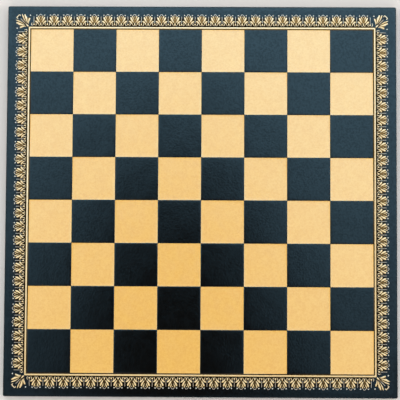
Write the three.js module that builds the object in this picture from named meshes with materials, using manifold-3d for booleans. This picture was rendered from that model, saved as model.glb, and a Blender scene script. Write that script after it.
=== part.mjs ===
// A one-piece chessboard. A fibreboard panel is wrapped in dark leatherette, whose edges are turned in
// underneath and covered with felt. The light squares, a frame line and a border of palmettes with a
// leaf at each corner are stamped foil. Millimetres, +Z up. Files run along +X and ranks along +Y, and
// the origin is the centre of the underside.
import * as THREE from "three";
import { mergeVertices } from "three/addons/utils/BufferGeometryUtils.js";
import Module from "manifold-3d";

const wasm = await Module();
wasm.setup();

// Playing field
const SQUARES_PER_SIDE = 8;
const SQUARE = 44;
const MARGIN = 24; // from the field to the board's side

// Layers
const PANEL_THICKNESS = 8;
const SHEET_THICKNESS = 1.2; // leatherette
const FELT_THICKNESS = 1;
const GLUE_LINE = 0.1; // film of glue between bonded layers

// Leatherette wrap and felt
const EDGE_RADIUS = 1.5; // soft edge where the sheet turns over the panel
const CORNER_EASE = 0.5; // extra rounding of the upright corners
const TURN_IN = 18; // reach of the folded sheet from the board's side
const MITRE_GAP = 0.5; // between two turn-ins that meet at a corner
const FELT_REVEAL = 4; // leatherette left bare around the felt
const FELT_CLEARANCE = 0.5; // felt to the raw edges of the turn-ins

// Stamped foil
const STAMP_DEPTH = 0.5;
const FOIL_THICKNESS = 0.2;
const FOIL_CLEARANCE = 0.1; // foil to the walls of its stamped pocket
const POCKET_INSET = 0.1; // leaves a bridge of sheet where light squares meet corner to corner
const LINE_OFFSET = 1.25; // from the field to the frame line
const LINE_WIDTH = 1.4;

// Palmette border
const RAIL_OFFSET = 1.25; // from the frame line to the rail at the border's foot
const RAIL_WIDTH = 0.6;
const BARE_RIM = 7.6; // plain sheet outside the border
const PALMETTE_PITCH = 13.86; // wanted pitch, rounded to a whole number of palmettes
const END_SET = 2.75; // from the last pipe to the field's corner
const PIPE_WIDTH = 0.6; // upright pipe between two palmettes
const PIPE_DROP = 2.8; // pipe's top below the palmettes' crowns
const PETAL_GAP = 0.7; // palmette to the pipes beside it

// Meshing
const CUT_OVERSHOOT = 1; // how far a cutting solid stands out of the face that it cuts
const ROUNDING_STEPS = 3; // facets in the sheet's rounded edges
const CURVE_STEPS = 2; // facets in each curve of the border
const LOOP_STEPS = 8; // facets in the loop of a corner leaf

// Plan sizes
const FIELD = SQUARES_PER_SIDE * SQUARE;
const BOARD = FIELD + 2 * MARGIN;
const PANEL = BOARD - 2 * (SHEET_THICKNESS + GLUE_LINE);
const OPENING = BOARD - 2 * TURN_IN; // bare underside of the panel between the turn-ins
const POCKET = SQUARE - 2 * POCKET_INSET;
const LIGHT_SQUARE = POCKET - 2 * FOIL_CLEARANCE;

// Levels from the table up
const SHEET_BOTTOM = FELT_THICKNESS + GLUE_LINE;
const PANEL_BOTTOM = SHEET_BOTTOM + SHEET_THICKNESS + GLUE_LINE;
const PANEL_TOP = PANEL_BOTTOM + PANEL_THICKNESS;
const SHEET_TOP = PANEL_TOP + GLUE_LINE + SHEET_THICKNESS;
const POCKET_FLOOR = SHEET_TOP - STAMP_DEPTH;

// Border layout, outward from the field's edge
const RAIL_FOOT = LINE_OFFSET + LINE_WIDTH + RAIL_OFFSET;
const RAIL_TOP = RAIL_FOOT + RAIL_WIDTH;
const CROWN = MARGIN - BARE_RIM;
const BORDER_RUN = FIELD - 2 * END_SET; // between the axes of the end pipes
const PALMETTES = Math.round(BORDER_RUN / PALMETTE_PITCH);
const PITCH = BORDER_RUN / PALMETTES;

// Right half of a palmette from its waist up to its crown, in shares of its half width and height
const PALMETTE_WAIST = [0.4, 0];
const LOWER_PETAL = [[1, 0.33], [0.73, 0.42]]; // each petal's tip, then the notch above it
const MIDDLE_PETAL = [[0.81, 0.63], [0.69, 0.72], [0.49, 0.69]];
const UPPER_PETAL = [[0.4, 0.82], [0.3, 0.81]];
const PALMETTE_HALF = [PALMETTE_WAIST, ...LOWER_PETAL, ...MIDDLE_PETAL, ...UPPER_PETAL];
const CROWN_SHOULDER = [0.3, 1];
const CROWN_TOP = [0, 1];

// One half of a corner leaf from its heel to its loop, in shares of its reach along the two sides
const LEAF_HEEL = [0, 0];
const LEAF_LOWER = [[-0.14, 0.18], [-0.19, 0.6], [0.06, 0.67]];
const LEAF_MIDDLE = [[0.2, 0.91], [0.32, 0.83]];
const LEAF_UPPER = [[0.46, 0.92], [0.54, 0.81]];
const LEAF_HALF = [LEAF_HEEL, ...LEAF_LOWER, ...LEAF_MIDDLE, ...LEAF_UPPER];
const LOOP_CENTRE = 0.7; // along both sides
const LOOP_RADIUS = 0.25;
const LOOP_START = 0.65 * Math.PI; // where the loop leaves the leaf's upper petal
const LOOP_END = Math.PI / 2 - LOOP_START;

const leatherette = new THREE.MeshStandardMaterial({ color: 0x1b2328, roughness: 0.55, metalness: 0 });
const fibreboard = new THREE.MeshStandardMaterial({ color: 0xa17c50, roughness: 0.9, metalness: 0 });
const felt = new THREE.MeshStandardMaterial({ color: 0x17191b, roughness: 1, metalness: 0 });
const creamFoil = new THREE.MeshStandardMaterial({ color: 0xf0c583, roughness: 0.5, metalness: 0 });
const goldFoil = new THREE.MeshStandardMaterial({ color: 0xe6c483, roughness: 0.35, metalness: 0.8 });

function piece(name, geometry, material) {
  const mesh = new THREE.Mesh(geometry, material);
  mesh.name = name;
  return mesh;
}

// A box that stands on the level given as its bottom
function slab(width, depth, height, bottom) {
  return new THREE.BoxGeometry(width, depth, height).translate(0, 0, bottom + height / 2);
}

function solidOf(geometry) {
  const bare = geometry.clone();
  bare.deleteAttribute("normal");
  bare.deleteAttribute("uv");
  const merged = mergeVertices(bare);
  const vertProperties = new Float32Array(merged.attributes.position.array);
  const triVerts = new Uint32Array(merged.index.array);
  return new wasm.Manifold(new wasm.Mesh({ numProp: 3, vertProperties, triVerts }));
}

function geometryOf(solid) {
  const mesh = solid.getMesh();
  const geometry = new THREE.BufferGeometry();
  geometry.setAttribute("position", new THREE.BufferAttribute(mesh.vertProperties, mesh.numProp));
  geometry.setIndex(new THREE.BufferAttribute(mesh.triVerts, 1));
  geometry.computeVertexNormals();
  return geometry;
}

function squareOutline(path, side) {
  const half = side / 2;
  path.moveTo(-half, -half);
  path.lineTo(half, -half);
  path.lineTo(half, half);
  path.lineTo(-half, half);
  path.closePath();
  return path;
}

function roundedSquare(side, radius) {
  const half = side / 2;
  const straight = half - radius;
  const shape = new THREE.Shape();
  shape.moveTo(-straight, -half);
  shape.absarc(straight, -straight, radius, -Math.PI / 2, 0);
  shape.absarc(straight, straight, radius, 0, Math.PI / 2);
  shape.absarc(-straight, straight, radius, Math.PI / 2, Math.PI);
  shape.absarc(-straight, -straight, radius, Math.PI, 1.5 * Math.PI);
  return shape;
}

// Light squares are those whose file and rank numbers add up to an odd number
function lightSquares() {
  const squares = [];
  for (let file = 1; file <= SQUARES_PER_SIDE; file += 1) {
    for (let rank = 1; rank <= SQUARES_PER_SIDE; rank += 1) {
      if ((file + rank) % 2 === 0) continue;
      const letter = String.fromCharCode("a".charCodeAt(0) + file - 1);
      const x = (file - 0.5) * SQUARE - FIELD / 2;
      const y = (rank - 0.5) * SQUARE - FIELD / 2;
      squares.push({ name: `light_square_${letter}${rank}`, x, y });
    }
  }
  return squares;
}

// The frame line's square ring, widened on both sides by grow
function frameRing(grow, height) {
  const inner = FIELD + 2 * (LINE_OFFSET - grow);
  const outer = FIELD + 2 * (LINE_OFFSET + LINE_WIDTH + grow);
  const shape = squareOutline(new THREE.Shape(), outer);
  shape.holes.push(squareOutline(new THREE.Path(), inner));
  return new THREE.ExtrudeGeometry(shape, { depth: height, bevelEnabled: false });
}

function corePanel() {
  return piece("core_panel", slab(PANEL, PANEL, PANEL_THICKNESS, PANEL_BOTTOM), fibreboard);
}

// The sheet's outer form: a slab with rounded edges and upright corners
function wrapForm() {
  const height = SHEET_TOP - SHEET_BOTTOM;
  const form = new THREE.ExtrudeGeometry(roundedSquare(BOARD - 2 * EDGE_RADIUS, CORNER_EASE), {
    depth: height - 2 * EDGE_RADIUS,
    bevelThickness: EDGE_RADIUS,
    bevelSize: EDGE_RADIUS,
    bevelSegments: ROUNDING_STEPS,
    curveSegments: ROUNDING_STEPS,
  });
  return form.translate(0, 0, SHEET_BOTTOM + EDGE_RADIUS);
}

// Slit along a corner's diagonal, from the opening to the panel's corner
function mitreCut(quarterTurns) {
  const start = OPENING / 2 - CUT_OVERSHOOT;
  const end = PANEL / 2 - MITRE_GAP;
  const length = (end - start) * Math.SQRT2;
  const middle = ((start + end) / 2) * Math.SQRT2;
  const cut = slab(length, MITRE_GAP, SHEET_THICKNESS + 2 * CUT_OVERSHOOT, SHEET_BOTTOM - CUT_OVERSHOOT);
  return cut.translate(middle, 0, 0).rotateZ(Math.PI / 4 + (quarterTurns * Math.PI) / 2);
}

function leatherCover() {
  const hollowSide = PANEL + 2 * GLUE_LINE;
  const hollow = slab(hollowSide, hollowSide, PANEL_THICKNESS + 2 * GLUE_LINE, PANEL_BOTTOM - GLUE_LINE);
  const openingHeight = SHEET_THICKNESS + 2 * CUT_OVERSHOOT;
  const opening = slab(OPENING, OPENING, openingHeight, SHEET_BOTTOM - CUT_OVERSHOOT);
  const stamp = STAMP_DEPTH + CUT_OVERSHOOT;
  let sheet = solidOf(wrapForm()).subtract(solidOf(hollow)).subtract(solidOf(opening));
  for (let corner = 0; corner < 4; corner += 1) {
    sheet = sheet.subtract(solidOf(mitreCut(corner)));
  }
  for (const { x, y } of lightSquares()) {
    sheet = sheet.subtract(solidOf(slab(POCKET, POCKET, stamp, POCKET_FLOOR).translate(x, y, 0)));
  }
  const groove = frameRing(FOIL_CLEARANCE, stamp).translate(0, 0, POCKET_FLOOR);
  sheet = sheet.subtract(solidOf(groove));
  return piece("leather_cover", geometryOf(sheet), leatherette);
}

// The felt lies over the turn-ins' raw edges and fills the opening between them
function feltBacking() {
  const side = BOARD - 2 * FELT_REVEAL;
  const padSide = OPENING - 2 * FELT_CLEARANCE;
  const padTop = PANEL_BOTTOM - GLUE_LINE;
  const flange = solidOf(slab(side, side, FELT_THICKNESS, 0));
  const pad = solidOf(slab(padSide, padSide, padTop, 0));
  return piece("felt_backing", geometryOf(flange.add(pad)), felt);
}

function fieldOfLightSquares() {
  const field = new THREE.Group();
  const patch = slab(LIGHT_SQUARE, LIGHT_SQUARE, FOIL_THICKNESS, 0);
  for (const { name, x, y } of lightSquares()) {
    const square = piece(name, patch, creamFoil);
    square.position.set(x, y, POCKET_FLOOR + GLUE_LINE);
    field.add(square);
  }
  return field;
}

function goldFrameLine() {
  const line = piece("gold_frame_line", frameRing(0, FOIL_THICKNESS), goldFoil);
  line.position.z = POCKET_FLOOR + GLUE_LINE;
  return line;
}

// Goes round one palmette from its right foot over the crown to its left foot
function tracePalmette(shape, centre) {
  const halfWidth = PITCH / 2 - PIPE_WIDTH / 2 - PETAL_GAP;
  const place = (side, [x, y]) => [centre + side * x * halfWidth, RAIL_TOP + y * (CROWN - RAIL_TOP)];
  for (const point of PALMETTE_HALF) {
    shape.lineTo(...place(1, point));
  }
  shape.quadraticCurveTo(...place(1, CROWN_SHOULDER), ...place(1, CROWN_TOP));
  const lastNotch = PALMETTE_HALF[PALMETTE_HALF.length - 1];
  shape.quadraticCurveTo(...place(-1, CROWN_SHOULDER), ...place(-1, lastNotch));
  for (const point of PALMETTE_HALF.slice(0, -1).reverse()) {
    shape.lineTo(...place(-1, point));
  }
}

// One side's foil: a rail at the foot that joins the pipes and the palmettes between them
function borderOutline() {
  const half = PIPE_WIDTH / 2;
  const pipeTop = CROWN - PIPE_DROP;
  const end = BORDER_RUN / 2 + half;
  const shape = new THREE.Shape();
  shape.moveTo(-end, RAIL_FOOT);
  shape.lineTo(end, RAIL_FOOT);
  for (let pipe = PALMETTES; pipe >= 0; pipe -= 1) {
    const axis = pipe * PITCH - BORDER_RUN / 2;
    if (pipe < PALMETTES) shape.lineTo(axis + half, RAIL_TOP);
    shape.lineTo(axis + half, pipeTop);
    shape.lineTo(axis - half, pipeTop);
    if (pipe === 0) break;
    shape.lineTo(axis - half, RAIL_TOP);
    tracePalmette(shape, axis - PITCH / 2);
  }
  shape.closePath();
  return shape;
}

function leafOutline() {
  const reach = CROWN - RAIL_FOOT;
  const place = (share) => RAIL_FOOT + share * reach;
  const shape = new THREE.Shape();
  const [heel, ...half] = LEAF_HALF;
  shape.moveTo(place(heel[0]), place(heel[1]));
  for (const [x, y] of half) {
    shape.lineTo(place(y), place(x));
  }
  const centre = place(LOOP_CENTRE);
  shape.absarc(centre, centre, LOOP_RADIUS * reach, LOOP_END, LOOP_START);
  for (const [x, y] of [...half].reverse()) {
    shape.lineTo(place(x), place(y));
  }
  shape.closePath();
  return shape;
}

// Border of one side and the leaf at that side's right-hand end, turned to the side's place
function borderSide(side, corner, quarterTurns) {
  const group = new THREE.Group();
  const flat = { depth: FOIL_THICKNESS, bevelEnabled: false };
  const outline = new THREE.ExtrudeGeometry(borderOutline(), { ...flat, curveSegments: CURVE_STEPS });
  const leaf = new THREE.ExtrudeGeometry(leafOutline(), { ...flat, curveSegments: LOOP_STEPS });
  const strip = piece(`palmette_border_${side}`, outline, goldFoil);
  strip.position.set(0, FIELD / 2, SHEET_TOP + GLUE_LINE);
  const cornerLeaf = piece(`corner_leaf_${corner}`, leaf, goldFoil);
  cornerLeaf.position.set(FIELD / 2, FIELD / 2, SHEET_TOP + GLUE_LINE);
  group.add(strip, cornerLeaf);
  group.rotation.z = (-quarterTurns * Math.PI) / 2;
  return group;
}

const board = new THREE.Group();
board.add(corePanel(), leatherCover(), feltBacking(), fieldOfLightSquares(), goldFrameLine());
board.add(borderSide("north", "northeast", 0), borderSide("east", "southeast", 1));
board.add(borderSide("south", "southwest", 2), borderSide("west", "northwest", 3));

export default board;
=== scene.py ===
"""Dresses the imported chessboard: leatherette, pressed squares, gilt ornament, felt, light and camera."""

import math

import bmesh
import bpy
from bpy.props import FloatProperty, FloatVectorProperty, PointerProperty
from mathutils import Euler, Matrix, Vector


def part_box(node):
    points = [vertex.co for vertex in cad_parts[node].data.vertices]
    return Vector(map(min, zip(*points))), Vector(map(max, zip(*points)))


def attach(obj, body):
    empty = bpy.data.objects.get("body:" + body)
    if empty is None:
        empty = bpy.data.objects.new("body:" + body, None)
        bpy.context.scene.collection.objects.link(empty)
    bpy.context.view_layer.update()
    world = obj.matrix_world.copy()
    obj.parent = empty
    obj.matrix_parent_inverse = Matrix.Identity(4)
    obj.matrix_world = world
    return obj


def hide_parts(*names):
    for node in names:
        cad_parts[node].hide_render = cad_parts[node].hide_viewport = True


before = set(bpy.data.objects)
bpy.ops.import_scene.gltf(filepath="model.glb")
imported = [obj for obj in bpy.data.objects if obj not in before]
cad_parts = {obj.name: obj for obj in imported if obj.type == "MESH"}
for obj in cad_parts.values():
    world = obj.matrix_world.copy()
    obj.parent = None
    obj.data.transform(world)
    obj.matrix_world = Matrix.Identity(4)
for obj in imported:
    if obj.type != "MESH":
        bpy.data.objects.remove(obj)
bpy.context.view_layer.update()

bl_info = {
    "name": "Leatherette chessboard",
    "version": (1, 0, 0),
    "blender": (4, 5, 0),
    "location": "View3D > Sidebar > Chessboard",
    "description": "Models a leatherette chessboard with pressed squares and a gilt palmette border",
    "category": "Object",
}

# Fixed values, and what the imported parts give
BODY = "root"
MM = 0.001
SQUARES_PER_SIDE = 8
FILES = "abcdefgh"
SHEET_LOW, SHEET_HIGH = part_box("leather_cover")
FELT_LOW, FELT_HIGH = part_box("felt_backing")
LINE_LOW, LINE_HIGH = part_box("gold_frame_line")
FOIL_LOW, FOIL_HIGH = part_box("palmette_border_north")
# Two light squares of one rank lie two squares apart
SQUARE = (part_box("light_square_d1")[0].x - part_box("light_square_b1")[0].x) / 2
FIELD_HALF = SQUARES_PER_SIDE * SQUARE / 2
SIDES = ("north", "east", "south", "west")
CORNERS = ("northeast", "southeast", "southwest", "northwest")

# Crown of the dark squares: each ring's inset and rise from the pressed edge inwards, in mm
CROWN_RINGS = ((0.3, 0.19), (0.25, 0.03), (0.5, 0.015), (1.2, 0.015), (2.5, 0.015), (4.0, 0.015))
# Pressed walls of the light squares: bridge to the neighbours, then the slope down to the foil
PRESSED_RINGS = ((0.04, 0.0), (0.06, -0.12), (0.05, -0.2))
# How far a light square's foil stops short of its neighbours
FOIL_GAP = 0.17 * MM
# Shallow dish of a light square's foil, from its rim inwards
DISH_RINGS = ((0.25, -0.03), (0.8, -0.03), (2.0, -0.02), (4.0, -0.01))

# The sheet round the field: its lip, the groove's walls and the rise outside the groove, each step of the
# rise as mm out from the gilt line and the share of the press level that is left there
LIP_WIDTH = 0.6 * MM
LIP_PRESS = 0.5
GROOVE_WALL = 0.1 * MM
WALL_PRESS = 0.7
GROOVE_RISE = ((0.1, WALL_PRESS), (0.5, 0.25), (1.2, 0.0))
RIM_FLAT = 4.0 * MM
ROUND_STEPS = 5
CORNER_STEPS = 4
# The upright corners' rounding takes in this share of the edges' rounding
CORNER_SHARE = 0.6
# Seams of the wrap: mitres under the corners, and tucks in the long sides beside them
MITRE_HALF = 0.3 * MM
MITRE_DEPTH = 0.5 * MM
MITRE_STEPS = 2
TUCK_REACH = 4.0 * MM
TUCK_HALF = 0.3 * MM
TUCK_DEPTH = 0.35 * MM
SIDE_TOLERANCE = 0.1 * MM
SIDE_NORMAL = 0.9
SAME_PLACE = 1e-6
LINE_ROUND = 0.15 * MM
LINE_STEPS = 2
# The felt's film of glue, its gap to the turn-ins and its soft rims
FELT_GLUE = 0.1 * MM
FELT_GAP = 0.5 * MM
FELT_ROUND = 0.3 * MM
FELT_STEPS = 3
RIM_ANGLE = 1.0
# Angles past which an edge shades as sharp
SHARP_DEGREES = 40.0
SHEET_SHARP_DEGREES = 50.0

# Shades of the foil: pale where it is thin, dull in the curls, then from bright petals to dark outlines
PALE, DULL, BRIGHT, GOLDEN, SOFT, DEEP, DARKEST = -1.0, -0.4, 0.0, 1.0, 1.36, 1.5, 2.0
SHADE = "shade"
# How far a petal's widest part moves towards its tip
EVEN, FANNED = 1.0, 0.7
# Right half of a palmette: base, bend and tip in mm (across, out from the field's edge), width, taper
PALMETTE_PETALS = (
    ((2.25, 4.2), (2.5, 7.4), (5.95, 8.6), 1.85, FANNED),
    ((1.1, 7.0), (3.05, 9.4), (4.15, 12.85), 2.3, EVEN),
    ((0.95, 9.9), (1.5, 12.0), (2.5, 14.25), 1.25, EVEN),
)
# Shaded ground between the petals, and down the middle with its shades
PALMETTE_GROUND = (
    ((1.5, 5.6), (2.6, 7.8), (4.8, 9.0), 2.2),
    ((1.0, 7.0), (1.8, 10.2), (3.1, 13.3), 2.8),
)
PALMETTE_HEART = (
    ((0.0, 6.2), (0.0, 8.4), (0.0, 10.8), 3.4, SOFT),
    ((0.0, 10.0), (0.0, 12.0), (0.0, 14.2), 2.4, DEEP),
)
# Eye and dot: centre and diameter; arch: centre, radius, width, and the angles that it spans
EYE = ((0.0, 13.1), 0.8)
DOT = ((4.0, 14.68), 1.33)
CROWN_ARCH = (0.0, 14.38, 1.17, 0.5)
ARCH_SPAN = (-15.0, 195.0)
PALMETTE_PIP = ((0.0, 7.2), (0.0, 5.75), (0.0, 4.35), 2.05)
PALMETTE_CUP = ((2.1, 4.7), (1.5, 3.8), (0.3, 4.1), 0.4)
# The pipe between two palmettes, its pip and the curls beside it, from the pipe's axis
PIPE = ((0.0, 6.7), (0.0, 10.0), (0.0, 13.3), 0.6)
PIPE_PIP = ((0.0, 6.6), (0.0, 5.45), (0.0, 4.35), 2.2)
PIPE_CURL = ((1.2, 4.15), (3.3, 3.95), (1.85, 7.0), 0.68)

# One half of a corner leaf, along one side and out from the other, from the field's corner
LEAF_PETALS = (
    ((2.6, 5.0), (3.6, 8.6), (1.3, 11.8), 2.1, FANNED),
    ((3.4, 5.9), (4.7, 9.6), (4.9, 13.4), 1.15, EVEN),
    ((3.9, 6.2), (5.1, 10.8), (6.9, 15.7), 2.2, EVEN),
    ((4.6, 6.7), (8.1, 10.2), (9.45, 15.85), 1.42, FANNED),
)
LEAF_GROUND = (
    ((2.7, 4.8), (4.2, 9.0), (2.9, 12.2), 3.4),
    ((3.4, 5.4), (6.6, 9.8), (7.8, 15.0), 3.8),
)
# Dark line between a lobe and the stem, darkened as painted shadow of the pressed stamp's edge
LEAF_OUTLINE = ((1.9, 4.6), (6.7, 7.4), (10.4, 15.6), 0.75)
LEAF_STEM = ((4.8, 4.8), (7.6, 7.6), (11.2, 11.2), 0.6)
LEAF_STEM_GROUND = ((4.4, 4.4), (7.4, 7.4), (11.0, 11.0), 1.5)
LEAF_HEEL = ((5.8, 5.8), (4.4, 4.4), (2.9, 2.9), 2.1)
LEAF_LOOP = ((11.7, 15.2), (14.0, 14.0), (15.2, 11.7), 1.02)
LEAF_LOOP_LEG = ((11.2, 13.6), (11.3, 15.0), (12.3, 15.1), 0.8)
LEAF_HOLE = ((12.4, 12.4), 1.8)
LEAF_DOT = ((1.0, 14.45), 1.4)

# Heights as shares of the relief, and how much each further form steps down
GROUND_SHARE = 0.3
STROKE_SHARE = 0.8
EYE_SHARE = 0.6
LEG_SHARE = 0.85
OUTLINE_SHARE = 0.4
HOLE_SHARE = 0.2
RANK_STEP = 0.07
# Base widths of petals, and end widths of strokes, as shares of their width
PETAL_BASE = 0.35
LEAF_BASE = 0.2
HEART_BASE = 0.6
HEEL_BASE = 0.15
PIP_BASE = 0.1
STROKE_END = 0.45
PIPE_END = 0.7
LEAF_END = 0.8
ARCH_END = 0.9
# A petal's shoulder and a stroke's flat top, as shares of their width
PETAL_SHOULDER = 0.16
STROKE_TOP = 0.6
# Forms start out one unit long and wide, and are then laid along their curve
UNIT_HALF = 0.5
PETAL_SIDES = 12
DOT_SIDES = 8
STROKE_STEPS = 4

# Camera, in mm above the sheet and degrees, from a fit of the field's corners to the photograph
CAMERA_PLACE = (10.66, -72.12, 1235.98)
CAMERA_TURN = (3.354, 0.5241, 0.2904)
CAMERA_LENS = 109.07
CAMERA_SENSOR = 36.0

# Light: the skylight, which grows brighter to the north round a dark spot, the walls and the side lights
COOL = (1.95, 2.7, 3.1)
OVERHEAD = (0.015, 0.015, 0.015)
SKYLIGHT_EDGE = (0.74, 0.88)
SKYLIGHT_RISE = (0.12, 1.0, 0.0)
SKYLIGHT_TILT = (-0.1, 0.3, 0.14, 0.66)
DARK_SPOT = (-0.03, -0.1, 0.995)
SPOT_SQUEEZE = (2.2, 1.0, 0.0)
SPOT_EDGE = (0.12, 0.29)
WALLS = (0.8, 0.8, 0.8)
WALLS_EDGE = (0.4, 0.1)
WARM = (1.0, 0.86, 0.77)
# Side lights: name, place and size in metres, power in watts
FILLS = (
    ("fill_north", (0.0, 4.0, 2.5), (5.5, 1.75), 119.0),
    ("fill_south", (0.0, -4.0, 2.5), (5.5, 1.75), 106.0),
    ("fill_east", (4.25, 0.0, 2.0), (1.75, 4.0), 137.0),
    ("fill_west", (-4.25, 0.0, 2.0), (1.75, 4.0), 137.0),
)
FLOOR_HALF = 6.0
FLOOR_ROUGHNESS = 0.9


def colour(name, description, default):
    """A colour that a user would change."""
    return FloatVectorProperty(
        name=name, description=description, subtype="COLOR", size=3, min=0.0, max=1.0, default=default
    )


def length(name, description, default):
    """A size in metres that a user would change."""
    return FloatProperty(name=name, description=description, unit="LENGTH", precision=5, default=default)


class ChessboardSizes(bpy.types.PropertyGroup):
    """Sizes of the board's finish."""

    edge_radius: length("Edge radius", "Rounding of the sheet over the panel's edges", 0.9 * MM)
    corner_radius: length("Corner radius", "Rounding of the upright corners", 1.6 * MM)
    press_level: length("Press level", "How far the edges of the squares are pressed down", 0.2 * MM)
    sheet_thickness: length("Sheet thickness", "Thickness of the leatherette", 1.2 * MM)
    turn_in: length("Turn-in", "Width of the sheet folded under the panel", 18 * MM)
    line_width: length("Line width", "Width of the gilt line round the field", 1.6 * MM)
    palmette_pitch: length("Palmette pitch", "Distance between two palmettes", 13.86 * MM)
    foil_relief: length("Foil relief", "Height of the gilt ornament above the sheet", 0.2 * MM)
    grain: length("Grain", "Size of the leatherette's pebbles", 1.1 * MM)


class ChessboardColours(bpy.types.PropertyGroup):
    """Colours of the board's finishes."""

    leatherette: colour("Leatherette", "Blue-black sheet", (0.0032, 0.0028, 0.0024))
    leatherette_worn: colour("Worn leatherette", "Rubbed edges of the sheet", (0.03, 0.036, 0.04))
    leatherette_stamped: colour("Stamped leatherette", "Sheet browned by the stamp", (0.03, 0.0155, 0.002))
    leatherette_gilded: colour("Gilded leatherette", "Strip inside the gilt line", (0.12, 0.05, 0.005))
    cream: colour("Cream", "Pressed light squares", (0.92, 0.572, 0.142))
    # Deep cream is the darker mottling, and the painted shade in the creases and wrinkle valleys
    cream_deep: colour("Deep cream", "Darker mottling of the light squares", (0.85, 0.475, 0.102))
    gilt: colour("Gilt", "Foil of the line and the border", (1.0, 0.71, 0.31))
    gilt_pale: colour("Pale gilt", "Thin foil of the dots, pipes and arches", (0.82, 0.73, 0.6))
    # Deep gilt also takes the painted shade in the foil's creases
    gilt_deep: colour("Deep gilt", "Foil in the shaded ground and where it is rubbed", (0.42, 0.2, 0.065))
    # Dark gilt is the darkest foil, and painted shadow in the pressed outlines
    gilt_dark_and_shadow: colour("Dark gilt", "Darkest foil, and painted shadow of the pressed outlines", (0.02, 0.012, 0.005))
    felt: colour("Felt", "Felt under the board", (0.012, 0.013, 0.015))
    fibreboard: colour("Fibreboard", "Panel inside the sheet", (0.36, 0.2, 0.085))
    floor: colour("Floor", "Plain floor", (0.72, 0.71, 0.7))


# Shader building blocks


def add(tree, kind, **values):
    """A node with some of its properties set."""
    made = tree.nodes.new(kind)
    for name, value in values.items():
        setattr(made, name, value)
    return made


def feed(tree, node, values):
    """Links sockets to a node's inputs, and sets plain values on them."""
    for name, value in values.items():
        if isinstance(value, bpy.types.NodeSocket):
            tree.links.new(value, node.inputs[name])
        else:
            node.inputs[name].default_value = value
    return node


def math_node(tree, operation, first, second):
    """Math on two inputs, each a socket or a number."""
    made = add(tree, "ShaderNodeMath", operation=operation)
    return feed(tree, made, {0: first, 1: second}).outputs[0]


def vector_math(tree, operation, *sources):
    """Vector math on inputs that are each a socket or a vector."""
    made = add(tree, "ShaderNodeVectorMath", operation=operation)
    return feed(tree, made, dict(enumerate(sources))).outputs


def add_share(tree, base, source, share):
    """Base plus a share of another value."""
    return math_node(tree, "ADD", base, math_node(tree, "MULTIPLY", source, share))


def remap(tree, source, low, high, to_low=0.0, to_high=1.0, easing="SMOOTHSTEP"):
    """Source from low to high, eased to a new range and clamped."""
    made = add(tree, "ShaderNodeMapRange", interpolation_type=easing)
    ends = {"From Min": low, "From Max": high, "To Min": to_low, "To Max": to_high}
    return feed(tree, made, {"Value": source, **ends}).outputs["Result"]


def blend_colours(tree, share, first, second):
    """First colour where share is 0, second where it is 1; each is a socket or a colour."""
    made = add(tree, "ShaderNodeMix", data_type="RGBA")
    tree.links.new(share, made.inputs["Factor"])
    for name, source in (("A", first), ("B", second)):
        socket = next(s for s in made.inputs if s.name == name and s.type == "RGBA")
        if isinstance(source, bpy.types.NodeSocket):
            tree.links.new(source, socket)
        else:
            socket.default_value = (*source, 1.0)
    return next(s for s in made.outputs if s.type == "RGBA")


def noise(tree, vector, scale, detail=2.0, roughness=0.5):
    """Noise whose scale is a socket or a number per metre."""
    made = add(tree, "ShaderNodeTexNoise")
    values = {"Vector": vector, "Scale": scale, "Detail": detail, "Roughness": roughness}
    return feed(tree, made, values)


def bump(tree, height, distance, strength, under=None):
    """Bump of a height map, on top of another bump where there is one."""
    made = add(tree, "ShaderNodeBump")
    feed(tree, made, {"Strength": strength, "Distance": distance, "Height": height})
    if under is not None:
        tree.links.new(under, made.inputs["Normal"])
    return made.outputs["Normal"]


def square_reach(tree, vector):
    """How far a point lies from the board's centre: the larger and the smaller of its two distances."""
    split = feed(tree, add(tree, "ShaderNodeSeparateXYZ"), {0: vector})
    across = math_node(tree, "ABSOLUTE", split.outputs["X"], 0.0)
    along = math_node(tree, "ABSOLUTE", split.outputs["Y"], 0.0)
    return math_node(tree, "MAXIMUM", across, along), math_node(tree, "MINIMUM", across, along)


# Effects that the finishes share


def new_group(name, outputs):
    """A node group on a vector and a scale, these two inputs, and its output node."""
    tree = bpy.data.node_groups.new(name, "ShaderNodeTree")
    for label, kind in (("Vector", "NodeSocketVector"), ("Scale", "NodeSocketFloat")):
        tree.interface.new_socket(label, in_out="INPUT", socket_type=kind)
    for label in outputs:
        tree.interface.new_socket(label, in_out="OUTPUT", socket_type="NodeSocketFloat")
    source = add(tree, "NodeGroupInput")
    result = add(tree, "NodeGroupOutput")
    return tree, source.outputs["Vector"], source.outputs["Scale"], result


def place_group(tree, name, scale, vector):
    """One of the shared effects, at its own scale per metre."""
    made = add(tree, "ShaderNodeGroup", node_tree=bpy.data.node_groups[name])
    return feed(tree, made, {"Scale": scale, "Vector": vector})


# Pebbles: how finely and how far they wander, how they run together, their dome and the creases between them
WANDER_SCALE = 0.6
WANDER_DETAIL = 1.0
WANDER_REACH = 0.9
PEBBLE_SMOOTHNESS = 0.35
PEBBLE_DOME = (0.75, 0.1)
PEBBLE_CREASE = (0.45, 0.8)
# Fine grain on the pebbles, and wrinkles across them
FINE_SCALE = 2.6
FINE_HEIGHT = 0.4
WRINKLE_SCALE = 0.6
WRINKLE_NOISE = (3.0, 0.55)


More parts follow.
